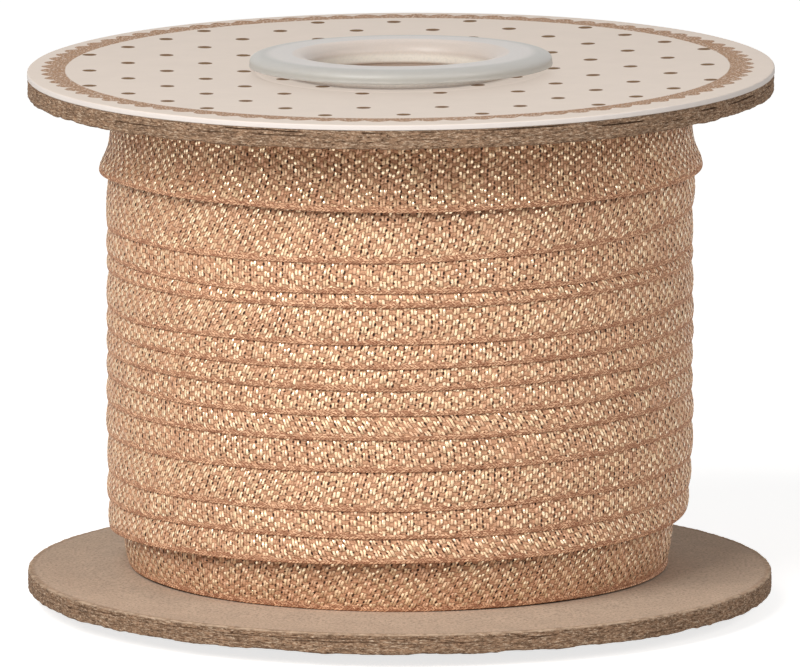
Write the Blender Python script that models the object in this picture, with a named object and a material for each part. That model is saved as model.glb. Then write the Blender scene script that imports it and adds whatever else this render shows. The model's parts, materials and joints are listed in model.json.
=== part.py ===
"""Ribbon spool: two board discs held apart by a paper core on a snap-together hub, wound with a narrow ribbon.

Metres, +Z up. The origin lies on the spool's axis, in the plane of the lower hub flange that it stands on.
Angles run counter-clockwise seen from above, from the front (-Y) through the right side (+X).
"""

from math import cos, pi, radians, sin, tan, tau

import bmesh
import bpy
from mathutils import Matrix, Vector

MM = 0.001

# Discs and label
DISC_RADIUS = 35.0 * MM
BOARD = 1.9 * MM  # thickness of each disc
BOARD_ROUND = 0.25 * MM
LABEL_MARGIN = 0.15 * MM  # how far the label stops inside the disc's rim
LABEL = 0.4 * MM

# Core tube
CORE_LENGTH = 45.25 * MM
CORE_WALL = 2.5 * MM
CORE_CHAMFER = 0.3 * MM

# Hub, the same for both halves
FLANGE_RADIUS = 14.25 * MM
FLANGE = 1.4 * MM
FLANGE_ROUND = 1.1 * MM
MOUTH_RADIUS = 10.2 * MM
MOUTH_ROUND = 0.3 * MM
FUNNEL_DEPTH = 1.4 * MM
BORE_RADIUS = 9.0 * MM
HUB_WALL = 1.5 * MM

# Snap joint of the two hub halves
PARTING_GAP = 0.6 * MM
SOCKET_STEP = 0.6 * MM  # how far the socket is wider than the bore
FINGER_WALL = 0.9 * MM
FINGER_LENGTH = 9.0 * MM
FINGER_SLOTS = 3  # cuts across the whole tube, so twice as many fingers
SLOT_WIDTH = 1.6 * MM
SLOT_ROOT = 1.5 * MM  # uncut length at the fingers' roots
BARB = 0.35 * MM
BARB_HEIGHT = 1.5 * MM
BARB_LEAD = 0.9 * MM
SNAP_PLAY = 0.2 * MM

# Ribbon
RIBBON_WIDTH = 7.0 * MM
RIBBON = 0.35 * MM
WINDING_RADIUS = 27.6 * MM
TURN_PITCH = 2.75 * MM  # rise of the outer layer in one turn
FLAT_TURNS = 1  # turns that don't rise, at each end of the outer layer
TAIL_ANGLE = radians(165)
INNER_LAYERS_ROUND = 3.0 * MM

# Tape on the ribbon's end
TAPE = 0.1 * MM
TAPE_BEFORE = radians(25)  # how far it reaches back over the ribbon
TAPE_AFTER = radians(12)  # and on past the ribbon's end
TAPE_BELOW = 1.5 * MM
TAPE_TOP_SHARE = 0.9  # share of the ribbon's width that it covers

# Clearances
SEAT_GAP = 0.02 * MM  # between flat faces pressed together
SLIDE_GAP = 0.3 * MM  # round the hub, and round the ribbon's layers
SNAP_GAP = 0.1 * MM  # between the fingers and their socket
END_GAP = 0.4 * MM  # between the ribbon's edges and the discs
TURN_GAP = 0.08 * MM  # between turns that lap over each other
TAPE_GAP = 0.15 * MM

# How finely round shapes are divided
DISC_STEPS = 72
HUB_STEPS = 48
TURN_STEPS = 36
TAPE_STEPS = 8
ARC_STEPS = 3

# What follows from these sizes
HUB_RADIUS = BORE_RADIUS + HUB_WALL
HOLE_RADIUS = HUB_RADIUS + SLIDE_GAP  # of the discs, the label and the core
CORE_RADIUS = HOLE_RADIUS + CORE_WALL
LAP = RIBBON + TURN_GAP  # from one turn out to the next one over it
LEAN = LAP * RIBBON_WIDTH / TURN_PITCH  # from a turn's lower edge in to its upper one
INNER_LAYERS_RADIUS = WINDING_RADIUS - LAP * FLAT_TURNS - LEAN - RIBBON - SLIDE_GAP

BOTTOM_DISC_Z = FLANGE + SEAT_GAP
CORE_Z = BOTTOM_DISC_Z + BOARD + SEAT_GAP
CORE_TOP_Z = CORE_Z + CORE_LENGTH
TOP_DISC_Z = CORE_TOP_Z + SEAT_GAP
LABEL_Z = TOP_DISC_Z + BOARD + SEAT_GAP
TOP_FLANGE_Z = LABEL_Z + LABEL + SEAT_GAP
PARTING_Z = CORE_Z + CORE_LENGTH / 2

FINGER_RADIUS = BORE_RADIUS + SOCKET_STEP - SNAP_GAP
FINGER_END_Z = PARTING_Z + PARTING_GAP - FINGER_LENGTH
BARB_TOP_Z = FINGER_END_Z + BARB_HEIGHT

RIBBON_LOW_Z = CORE_Z + END_GAP
RIBBON_HIGH_Z = CORE_TOP_Z - END_GAP
TAIL_Z = RIBBON_HIGH_Z - RIBBON_WIDTH  # lower edge of the ribbon where it ends


def clear_scene():
    for thing in list(bpy.data.objects):
        bpy.data.objects.remove(thing, do_unlink=True)


def material(name, colour, roughness, metallic=0.0, alpha=1.0):
    made = bpy.data.materials.new(name)
    made.use_nodes = True
    shader = made.node_tree.nodes["Principled BSDF"]
    shader.inputs["Base Color"].default_value = (*colour, 1.0)
    shader.inputs["Roughness"].default_value = roughness
    shader.inputs["Metallic"].default_value = metallic
    shader.inputs["Alpha"].default_value = alpha
    made.diffuse_color = (*colour, alpha)
    return made


def placed(name, bm, height, look, parent):
    """A smooth-shaded object from a bmesh, with its own origin at that height on the axis."""
    bmesh.ops.recalc_face_normals(bm, faces=bm.faces)
    mesh = bpy.data.meshes.new(name)
    bm.to_mesh(mesh)
    bm.free()
    mesh.shade_smooth()
    mesh.set_sharp_from_angle(angle=radians(35))
    mesh.materials.append(look)
    made = bpy.data.objects.new(name, mesh)
    made.location.z = height
    made.parent = parent
    bpy.context.scene.collection.objects.link(made)
    return made


def rounded(corners):
    """A closed outline of (radius, height, round) corners, with an arc at each corner whose round isn't 0."""
    points = []
    for i, (radius, height, fillet) in enumerate(corners):
        corner = Vector((radius, height))
        if not fillet:
            points.append(corner)
            continue
        before = (Vector(corners[i - 1][:2]) - corner).normalized()
        after = (Vector(corners[(i + 1) % len(corners)][:2]) - corner).normalized()
        half = before.angle(after) / 2
        centre = corner + (before + after).normalized() * fillet / sin(half)
        start = corner + before * fillet / tan(half) - centre
        turn = start.angle_signed(corner + after * fillet / tan(half) - centre)
        for step in range(ARC_STEPS + 1):
            spun = Matrix.Rotation(-turn * step / ARC_STEPS, 2) @ start
            points.append(centre + spun)
    return points


def turned(corners, steps):
    """A bmesh of a closed (radius, height, round) outline spun once round the Z axis."""
    bm = bmesh.new()
    points = [bm.verts.new((p.x, 0, p.y)) for p in rounded(corners)]
    edges = [bm.edges.new((points[i - 1], point)) for i, point in enumerate(points)]
    bmesh.ops.spin(
        bm, geom=points + edges, cent=(0, 0, 0), axis=(0, 0, 1), angle=tau, steps=steps, use_merge=True
    )
    return bm


def ring(inner, outer, low, high, fillet=0):
    """The four corners of a plain ring's outline, with its outer corners rounded."""
    return [(outer, high, fillet), (outer, low, fillet), (inner, low, 0), (inner, high, 0)]


def make_disc(name, height, parent):
    board = material(name, (0.31, 0.22, 0.15), 0.9)
    outline = ring(HOLE_RADIUS, DISC_RADIUS, 0, BOARD, BOARD_ROUND)
    return placed(name, turned(outline, DISC_STEPS), height, board, parent)


def make_label(parent):
    paper = material("top_label", (0.69, 0.60, 0.54), 0.7)
    outline = ring(HOLE_RADIUS, DISC_RADIUS - LABEL_MARGIN, 0, LABEL)
    return placed("top_label", turned(outline, DISC_STEPS), LABEL_Z, paper, parent)


def make_core(parent):
    card = material("core_tube", (0.26, 0.17, 0.10), 0.9)
    bm = turned(ring(HOLE_RADIUS, CORE_RADIUS, 0, CORE_LENGTH, CORE_CHAMFER), HUB_STEPS)
    return placed("core_tube", bm, CORE_Z, card, parent)


def hub_material(name):
    return material(name, (0.72, 0.67, 0.64), 0.35)


def make_hub_bottom(parent):
    """The half that stands under the spool, with the socket for the other half's fingers."""
    socket = BORE_RADIUS + SOCKET_STEP
    groove = FINGER_RADIUS + BARB + SNAP_GAP
    floor = FINGER_END_Z - SNAP_PLAY
    corners = [
        (FLANGE_RADIUS, 0, FLANGE_ROUND),
        (MOUTH_RADIUS, 0, MOUTH_ROUND),
        (BORE_RADIUS, FUNNEL_DEPTH, 0),
        (BORE_RADIUS, floor - SOCKET_STEP, 0),
        (socket, floor, 0),
        (groove, floor + BARB, 0),
        (groove, BARB_TOP_Z + SNAP_PLAY, 0),
        (socket, BARB_TOP_Z + SNAP_PLAY, 0),
        (socket, PARTING_Z, 0),
        (HUB_RADIUS, PARTING_Z, 0),
        (HUB_RADIUS, FLANGE, 0),
        (FLANGE_RADIUS, FLANGE, 0),
    ]
    return placed("hub_bottom", turned(corners, HUB_STEPS), 0, hub_material("hub_bottom"), parent)


def finger_cutter(turn, parent):
    """A long box across the fingers, which cuts one slot on each side of the tube."""
    low = FINGER_END_Z - SNAP_PLAY
    high = PARTING_Z + PARTING_GAP - SLOT_ROOT
    bm = bmesh.new()
    bmesh.ops.create_cube(bm, size=1)
    bmesh.ops.scale(bm, vec=(4 * HUB_RADIUS, SLOT_WIDTH, high - low), verts=bm.verts)
    bmesh.ops.rotate(bm, matrix=Matrix.Rotation(turn, 3, "Z"), verts=bm.verts)
    cutter = placed("finger_cutter", bm, (low + high) / 2, hub_material("finger_cutter"), parent)
    cutter.hide_render = True
    cutter.display_type = "WIRE"
    return cutter


def make_hub_top(parent):
    """The half that is pushed in from above, with barbed snap fingers."""
    top = FLANGE
    shoulder = PARTING_Z + PARTING_GAP - TOP_FLANGE_Z
    end = FINGER_END_Z - TOP_FLANGE_Z
    barb = BARB_TOP_Z - TOP_FLANGE_Z
    finger_bore = FINGER_RADIUS - FINGER_WALL
    corners = [
        (MOUTH_RADIUS, top, MOUTH_ROUND),
        (FLANGE_RADIUS, top, FLANGE_ROUND),
        (FLANGE_RADIUS, 0, 0),
        (HUB_RADIUS, 0, 0),
        (HUB_RADIUS, shoulder, 0),
        (FINGER_RADIUS, shoulder, 0),
        (FINGER_RADIUS, barb, 0),
        (FINGER_RADIUS + BARB, barb, 0),
        (FINGER_RADIUS + BARB, end + BARB_LEAD, 0),
        (FINGER_RADIUS - BARB, end, 0),
        (finger_bore, end, 0),
        (finger_bore, shoulder, 0),
        (BORE_RADIUS, shoulder + FINGER_WALL, 0),
        (BORE_RADIUS, top - FUNNEL_DEPTH, 0),
    ]
    bm = turned(corners, HUB_STEPS)
    hub = placed("hub_top", bm, TOP_FLANGE_Z, hub_material("hub_top"), parent)
    for i in range(FINGER_SLOTS):
        slot = hub.modifiers.new(f"slot_{i + 1}", "BOOLEAN")
        slot.operation = "DIFFERENCE"
        slot.object = finger_cutter(i * pi / FINGER_SLOTS, parent)
    return hub


def make_inner_layers(parent):
    """The ribbon's inner layers, as one solid of the shape that they pack to."""
    cloth = material("ribbon_inner_layers", (0.50, 0.32, 0.21), 0.6)
    outline = ring(
        CORE_RADIUS + SLIDE_GAP, INNER_LAYERS_RADIUS, 0, RIBBON_HIGH_Z - RIBBON_LOW_Z, INNER_LAYERS_ROUND
    )
    return placed("ribbon_inner_layers", turned(outline, HUB_STEPS), RIBBON_LOW_Z, cloth, parent)


def make_outer_layer(parent):
    """The outer layer: one strip of ribbon wound up the spool as a helix, each turn lapping over the one below.

    The strip leans, so turns that lie one TURN_PITCH apart clear each other by TURN_GAP. In the flat turns at
    both ends it doesn't rise, and it spirals outwards by one LAP a turn in place of that.
    """
    cloth = material("ribbon_outer_layer", (0.62, 0.40, 0.26), 0.45, metallic=0.3)
    rising_turns = (TAIL_Z - RIBBON_LOW_Z) / TURN_PITCH
    steps = round((rising_turns + 2 * FLAT_TURNS) * TURN_STEPS)
    section = [(0, 0), (-LEAN, RIBBON_WIDTH), (-LEAN - RIBBON, RIBBON_WIDTH), (-RIBBON, 0)]
    bm = bmesh.new()
    rows = []
    for step in range(steps + 1):
        angle = TAIL_ANGLE - (steps - step) * tau / TURN_STEPS
        turns = step / TURN_STEPS - FLAT_TURNS
        risen = min(max(turns, 0), rising_turns)
        radius = WINDING_RADIUS + LAP * (turns - risen)
        height = TURN_PITCH * risen
        row = []
        for out, up in section:
            row.append(bm.verts.new(((radius + out) * sin(angle), -(radius + out) * cos(angle), height + up)))
        if rows:
            for i in range(len(section)):
                bm.faces.new((rows[-1][i - 1], rows[-1][i], row[i], row[i - 1]))
        rows.append(row)
    bm.faces.new(rows[0])
    bm.faces.new(reversed(rows[-1]))
    return placed("ribbon_outer_layer", bm, RIBBON_LOW_Z, cloth, parent)


def make_tape(parent):
    """A curved patch of clear tape over the ribbon's end, at the back of the spool."""
    film = material("end_tape", (0.85, 0.83, 0.78), 0.2, alpha=0.35)
    inside = WINDING_RADIUS + LAP * FLAT_TURNS + TAPE_GAP
    tilt = LEAN * TAPE_TOP_SHARE
    reach = RIBBON_WIDTH * TAPE_TOP_SHARE
    section = [
        (inside, -TAPE_BELOW),
        (inside, 0),
        (inside - tilt, reach),
        (inside - tilt + TAPE, reach),
        (inside + TAPE, 0),
        (inside + TAPE, -TAPE_BELOW),
    ]
    bm = bmesh.new()
    start = TAIL_ANGLE - TAPE_BEFORE
    points = [bm.verts.new((r * sin(start), -r * cos(start), z)) for r, z in section]
    face = bm.faces.new(points)
    bmesh.ops.spin(
        bm, geom=[face], cent=(0, 0, 0), axis=(0, 0, 1), angle=TAPE_BEFORE + TAPE_AFTER, steps=TAPE_STEPS
    )
    return placed("end_tape", bm, TAIL_Z, film, parent)


def main():
    clear_scene()
    spool = bpy.data.objects.new("ribbon_spool", None)
    bpy.context.scene.collection.objects.link(spool)
    make_hub_bottom(spool)
    make_disc("bottom_disc", BOTTOM_DISC_Z, spool)
    make_core(spool)
    make_inner_layers(spool)
    make_outer_layer(spool)
    make_tape(spool)
    make_disc("top_disc", TOP_DISC_Z, spool)
    make_label(spool)
    make_hub_top(spool)


main()
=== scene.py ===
"""The looks of a ribbon spool, built around its fixed frame.

Two greyboard discs, a printed paper label, a milky plastic hub, and a narrow woven metallic ribbon wound up
the spool as a helix. Metres, +Z up. Angles run counter-clockwise seen from above, from the front (-Y)
through the right side (+X), so a point at radius r and angle t lies at (r sin t, -r cos t).
"""

import json
from math import cos, floor, sin

import bpy
import numpy as np
from bpy.props import FloatProperty, FloatVectorProperty, IntProperty, PointerProperty
from bpy.types import Operator, Panel, PropertyGroup
from mathutils import Matrix, Vector

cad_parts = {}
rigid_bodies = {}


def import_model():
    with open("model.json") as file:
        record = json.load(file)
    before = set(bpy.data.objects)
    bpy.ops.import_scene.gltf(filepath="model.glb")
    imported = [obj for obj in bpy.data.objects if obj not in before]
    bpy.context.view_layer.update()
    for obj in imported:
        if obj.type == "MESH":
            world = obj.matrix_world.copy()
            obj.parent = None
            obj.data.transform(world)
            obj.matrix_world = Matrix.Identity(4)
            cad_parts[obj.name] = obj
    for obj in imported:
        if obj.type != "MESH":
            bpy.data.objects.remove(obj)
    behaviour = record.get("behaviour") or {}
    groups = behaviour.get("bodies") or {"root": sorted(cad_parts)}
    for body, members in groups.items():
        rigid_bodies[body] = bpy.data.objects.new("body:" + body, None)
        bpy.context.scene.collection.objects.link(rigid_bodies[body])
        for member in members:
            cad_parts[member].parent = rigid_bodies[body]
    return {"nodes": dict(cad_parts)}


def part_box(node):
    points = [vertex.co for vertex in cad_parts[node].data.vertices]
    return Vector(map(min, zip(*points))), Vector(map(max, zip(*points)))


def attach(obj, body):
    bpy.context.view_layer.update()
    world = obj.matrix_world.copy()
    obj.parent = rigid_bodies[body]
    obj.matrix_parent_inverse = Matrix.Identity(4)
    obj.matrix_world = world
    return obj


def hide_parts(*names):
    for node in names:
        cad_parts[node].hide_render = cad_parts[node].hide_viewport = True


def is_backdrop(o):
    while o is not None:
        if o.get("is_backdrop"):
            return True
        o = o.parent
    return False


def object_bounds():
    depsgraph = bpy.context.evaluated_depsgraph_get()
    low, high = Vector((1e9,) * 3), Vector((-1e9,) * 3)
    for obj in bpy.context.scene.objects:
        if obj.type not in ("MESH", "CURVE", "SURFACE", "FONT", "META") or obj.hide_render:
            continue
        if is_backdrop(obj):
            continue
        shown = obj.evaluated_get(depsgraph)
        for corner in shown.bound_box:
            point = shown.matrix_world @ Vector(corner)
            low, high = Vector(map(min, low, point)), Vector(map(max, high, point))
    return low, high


bl_info = {
    "name": "Ribbon Spool",
    "version": (1, 0, 0),
    "blender": (4, 5, 0),
    "location": "3D View > Sidebar > Spool",
    "description": "Builds a board-ended spool of woven metallic ribbon around its frame",
    "category": "Object",
}

for leftover in list(bpy.data.objects):
    bpy.data.objects.remove(leftover)
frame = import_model()
CAD_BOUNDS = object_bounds()

MM = 0.001
TURN = 2 * np.pi
BODY = "root"
WEAVE_MAP = "Weave"  # the ribbon's own map, in millimetres along and across it
BAKE_MAP = "OFBake"


# ----------------------------------------------------------------------------------------------------
# Sizes and colours that a user would change


def linear(red, green, blue):
    """A display colour from 0 to 255, as the linear colour that a shader holds."""
    share = np.array((red, green, blue)) / 255
    return tuple(float(c) for c in np.where(share < 0.04045, share / 12.92, ((share + 0.055) / 1.055) ** 2.4))


def size(name, description, millimetres):
    """A length property whose default is given in millimetres."""
    return FloatProperty(
        name=name, description=description, default=millimetres * MM, unit="LENGTH", precision=6, soft_min=0.0
    )


def colour(name, description, *display):
    """A colour property whose default is given as a display colour."""
    return FloatVectorProperty(
        name=name, description=description, default=linear(*display), subtype="COLOR", size=3, min=0, max=1
    )


def share(name, description, value):
    """A plain number, most often a share of something else."""
    return FloatProperty(name=name, description=description, default=value, precision=4)


def count(name, description, value):
    """A whole number of steps, rows or copies."""
    return IntProperty(name=name, description=description, default=value, min=1)


class BoardLooks(PropertyGroup):
    """The two greyboard discs."""

    rounding: size("Rounding", "Radius of a disc's corners", 0.22)
    relief: size("Edge relief", "How far the fibres of the cut edge stand out", 0.045)
    crack: size("Crack depth", "How deep the splits between the board's plies go", 0.2)
    crack_width: size("Crack width", "Half the height of a split", 0.045)
    dish: share("Dish", "How steeply the upper disc rises outside the hub, as a slope", 0.0152)
    dish_from: size("Dish start", "Radius at which the upper disc starts to rise", 10.0)
    tilt: share("Tilt", "How steeply the upper disc leans up to the right, as a slope", 0.0096)
    nod: share("Nod", "How steeply the upper disc leans up to the front, as a slope", 0.0026)
    face: colour("Face", "The board's flat faces", 197, 174, 153)
    edge: colour("Edge", "The board's cut edge", 144, 115, 91)
    # Painted shade inside the splits; the same colour also makes the edge's dark grit
    split: colour("Split", "Inside the splits between plies", 72, 48, 32)
    # Also laid along the rim's upper corner, partly as pale fuzz and partly as a painted highlight
    fleck: colour("Fleck", "Pale fibres and the fuzzy rim", 200, 176, 152)
    fray: size("Fray", "How far the lower corner hangs down", 0.1)
    mound: size("Mound", "How far the lower disc's top swells up under the ribbon", 0.36)
    mound_end: size("Mound end", "Radius where that swelling ends", 31.0)
    mound_run: size("Mound run", "Over how much radius it rises", 5.0)
    steps: count("Steps", "Divisions round a disc", 1080)
    edge_rows: count("Edge rows", "Divisions across a disc's edge", 38)


class LabelLooks(PropertyGroup):
    """The printed paper label."""

    paper: colour("Paper", "The cut edge and the bare back", 228, 219, 213)
    ground: colour("Ground", "The cream ground", 230, 216, 204)
    ink: colour("Ink", "The dots", 122, 94, 66)
    lace: colour("Lace", "The border's ink", 166, 125, 90)
    dot: size("Dot", "Radius of a dot", 0.67)
    dot_across: size("Dots across", "From one dot to the next in a row", 7.254)
    dot_up: size("Dots up", "From one row of dots to the next", 4.804)
    dot_x: size("Dot place X", "Where one dot lies", -21.965)
    dot_y: size("Dot place Y", "Where that dot lies", 0.35)
    blank_y: size("Blank place Y", "Where the middle of the blank place in front of the hub lies", -18.6)
    dot_turn: FloatProperty(name="Dot turn", description="Turn of the rows", default=0.01626, subtype="ANGLE")
    border_x: size("Border place X", "Where the border's middle lies", -0.32)
    border_y: size("Border place Y", "Where the border's middle lies", 0.66)
    border_inside: size("Border inside", "Radius where the border starts", 31.2)
    border_valley: size("Border valleys", "Radius of the valleys between scallops", 32.65)
    scallop: size("Scallop", "Height of a scallop", 0.85)
    scallops: count("Scallops", "Scallops round the border", 84)
    lace_cell: size("Lace cell", "Size of the lace's loops", 0.42)
    edge_round: size("Edge rounding", "Radius of the cut edge's upper corner", 0.14)
    overhang: size("Overhang", "How far the label stands out past the frame's", 0.22)
    lip: size("Lip", "How far its cut edge hangs down over the disc's corner", 0.12)
    imprint: size("Imprint", "Radius of the ring that the hub has pressed into the paper", 13.5)
    imprint_x: size("Imprint place X", "Where its middle lies", -0.1)
    imprint_y: size("Imprint place Y", "Where its middle lies", 0.45)
    imprint_width: size("Imprint width", "Half its width", 0.28)
    imprint_depth: size("Imprint depth", "How deep it is", 0.06)
    steps: count("Steps", "Divisions round the label", 720)


class HubLooks(PropertyGroup):
    """The two snap-together halves of the plastic hub."""

    shoulder: size("Shoulder", "Width of the flange's outer rounding", 1.45)
    shoulder_depth: size("Shoulder depth", "Depth of the flange's outer rounding", 0.62)
    land: size("Mouth", "Radius where the flange's flat top ends at the mouth", 10.25)
    lip_depth: size("Lip depth", "Depth of the mouth's rounding, from the flat top to the bore", 1.1)
    groove: size("Groove", "Depth of the ring groove inside the bore", 0.2)
    groove_place: size("Groove place", "How far the ring groove starts below the flange's top", 2.1)
    lift: size("Lift", "How far the upper half stands up out of the frame's", 0.03)
    nod: share("Nod", "How steeply the upper half leans up to the front, as a slope", 0.025)
    plastic: colour("Plastic", "Where the plastic is thick", 201, 196, 192)
    # Painted shade on the flange's side; the same colour also tints the plastic's random grain
    thin: colour("Thin plastic", "Where it is thin, on the flange's side", 169, 168, 163)
    backed: colour("Backed plastic", "Inside the bore, with the brown core behind it", 210, 197, 187)
    # Painted glow: light shining through the bore's wall, painted into its colour
    lit: colour("Lit plastic", "Where the bore glows with the light that comes through it", 255, 243, 230)
    # Partly the brown core behind the plastic, partly painted shade down the bore
    deep: colour("Deep plastic", "Further down the bore", 190, 170, 154)
    clear: share("Clearness", "Share of the light it lets through", 0.98)
    steps: count("Steps", "Divisions round the hub", 192)


class RibbonLooks(PropertyGroup):
    """The woven metallic ribbon."""

    thickness: size("Thickness", "The ribbon's thickness", 0.2)
    gap: size("Gap", "Between turns that lap over each other", 0.02)
    radius: size("Winding radius", "Outermost radius of the winding", 27.5)
    bulge: size("Bulge", "How far the shown part of a turn swells between its edges", 0.17)
    wander: size("Wander", "How far a turn's edge strays up and down", 0.09)
    uneven: size("Unevenness", "How far the winding's radius strays in and out", 0.12)
    flare: size("Flare", "How far the top turn's lower edge stands out", 0.8)
    recess: size("Recess", "How far the bottom turn lies inside the others, at its upper side", 1.1)
    recess_more: size("Recess below", "How much further in its lower edge is", 0.9)
    column: size("Column", "From one pair of weft strands to the next, along the ribbon", 0.66)
    crossing: size("Crossing", "From one warp thread to the next, across the ribbon", 0.51)
    stray: size("Stray", "How far the weave's threads stray from their places", 0.13)
    relief: size("Relief", "Half the height between a float's top and the gaps", 0.045)
    selvage: size("Selvage", "Width of the dense edge", 0.52)
    skew: share("Skew", "How far the weft leans along the ribbon, as a slope", 0.5)
    columns: count("Columns", "Pairs of weft strands in one turn", 263)
    column_steps: count("Column steps", "Divisions of one column", 4)
    row_steps: count("Row steps", "Divisions from one warp thread to the next", 4)
    peach: colour("Peach strand", "The duller weft strands", 226, 176, 142)
    gold: colour("Gold strand", "The brighter weft strands", 255, 222, 180)
    # Painted highlight: glints painted into the strands' colour, on top of their real metallic gloss
    spark: colour("Spark", "Strands that catch the light", 252, 230, 196)
    warp: colour("Warp", "The warp threads between the floats", 220, 168, 132)
    # Painted shade in the gaps, outlines and holes of the weave; it also darkens the strands a little at random
    shade: colour("Gap", "Down between the strands", 112, 66, 34)
    # Painted shade in the deepest holes
    pit: colour("Pit", "The deepest gaps", 36, 16, 4)
    stitch: colour("Stitch", "The bright stitches of the selvage", 255, 206, 166)
    seam: colour("Seam", "Between the stitches of the selvage", 140, 82, 54)


class TapeLooks(PropertyGroup):
    """The clear tape on the ribbon's end."""

    film: colour("Film", "The clear film", 235, 230, 220)
    steps: count("Steps", "Divisions along the tape", 64)


class StageLooks(PropertyGroup):
    """Floor, lamps and camera."""

    floor: colour("Floor", "The pale floor", 212, 211, 209)
    surround: share("Surround", "How strongly the surround lights the object", 0.2)
    key: share("Key lamp", "Watts of the front left lamp", 3.3)
    fill: share("Fill lamp", "Watts of the front right lamp", 1.2)
    camera_distance: FloatProperty(
        name="Camera distance", description="From the camera to the spool's axis", default=1.8, unit="LENGTH"
    )
    camera_height: FloatProperty(
        name="Camera height", description="The angle it looks down at", default=0.16759, subtype="ANGLE"
    )
    camera_roll: FloatProperty(name="Camera roll", description="Its turn", default=0.00222, subtype="ANGLE")
    aim_x: size("Aim X", "Where it looks, across", -0.027)
    aim_z: size("Aim Z", "Where it looks, up", 25.634)
    lens: FloatProperty(name="Lens", description="Focal length in millimetres", default=861.3)


class SpoolLooks(PropertyGroup):
    """All the spool's settings."""

    board: PointerProperty(type=BoardLooks)
    label: PointerProperty(type=LabelLooks)
    hub: PointerProperty(type=HubLooks)
    ribbon: PointerProperty(type=RibbonLooks)
    tape: PointerProperty(type=TapeLooks)
    stage: PointerProperty(type=StageLooks)


# ----------------------------------------------------------------------------------------------------
# Curves and noise


def smooth(value):
    """Smoothstep: 0 below 0, 1 above 1, and 3v^2 - 2v^3 between."""
    value = np.clip(value, 0.0, 1.0)
    return value * value * (3 - 2 * value)


def value_noise(across, up, seed, period=4096):
    """Value noise from -1 to 1: random numbers at whole steps, joined by smoothstep both ways.

    It repeats after `period` steps across, so that a pattern that goes once round a spool closes on itself.
    """
    rows = 64
    table = np.random.default_rng(seed).uniform(-1, 1, (rows, period))
    i, j = np.floor(across).astype(int), np.floor(up).astype(int)
    a, b = smooth(across - i), smooth(up - j)
    left, right, low, high = i % period, (i + 1) % period, j % rows, (j + 1) % rows
    under = table[low, left] * (1 - a) + table[low, right] * a
    over = table[high, left] * (1 - a) + table[high, right] * a
    return under * (1 - b) + over * b


def fractal(across, up, seed, period=4096, octaves=3):
    """A sum of value noises, each twice as fine and half as strong as the one before it."""
    total = 0.0
    for octave in range(octaves):
        fold = 2**octave
        total = total + value_noise(across * fold, up * fold, seed + octave, period * fold) / fold
    return total


def arc(start, end, steps):
    """Sines and cosines of evenly spaced angles, both ends included, in degrees."""
    angles = np.radians(np.linspace(start, end, steps))
    return np.sin(angles), np.cos(angles)


# ----------------------------------------------------------------------------------------------------
# Meshes


def node_points(node):
    """The x, y and z of a CAD node's vertices."""
    mesh = frame["nodes"][node].data
    places = np.empty(len(mesh.vertices) * 3, np.float32)
    mesh.vertices.foreach_get("co", places)
    return places.reshape(-1, 3).T.astype(float)


def node_ring(node):
    """A turned CAD node's inner radius, outer radius, lowest and highest z."""
    x, y, z = node_points(node)
    radius = np.hypot(x, y)
    return radius.min(), radius.max(), z.min(), z.max()


def turned(radius, height, angles):
    """Points at the given radii and heights round +Z, all spread over one grid: x = r sin t, y = -r cos t."""
    radius, height, angles = np.broadcast_arrays(radius, height, angles)
    return np.stack([radius * np.sin(angles), -radius * np.cos(angles), height], axis=-1)


def grid_quads(rows, columns, wrap_rows, wrap_columns):
    """Corner rows and columns of each quad of a grid, as two arrays of shape (quads, 4), not yet wrapped."""
    row = np.arange(rows if wrap_rows else rows - 1)
    column = np.arange(columns if wrap_columns else columns - 1)
    row, column = (part.ravel() for part in np.meshgrid(row, column, indexing="ij"))
    return np.stack([row, row, row + 1, row + 1], -1), np.stack([column, column + 1, column + 1, column], -1)


def signed_volume(points, quads):
    """Six times the volume inside quads, from the triple product of each of their two triangles."""
    a, b, c, d = (points[quads[:, k]] for k in range(4))
    return np.einsum("ij,ij->", a, np.cross(b, c)) + np.einsum("ij,ij->", a, np.cross(c, d))


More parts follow.
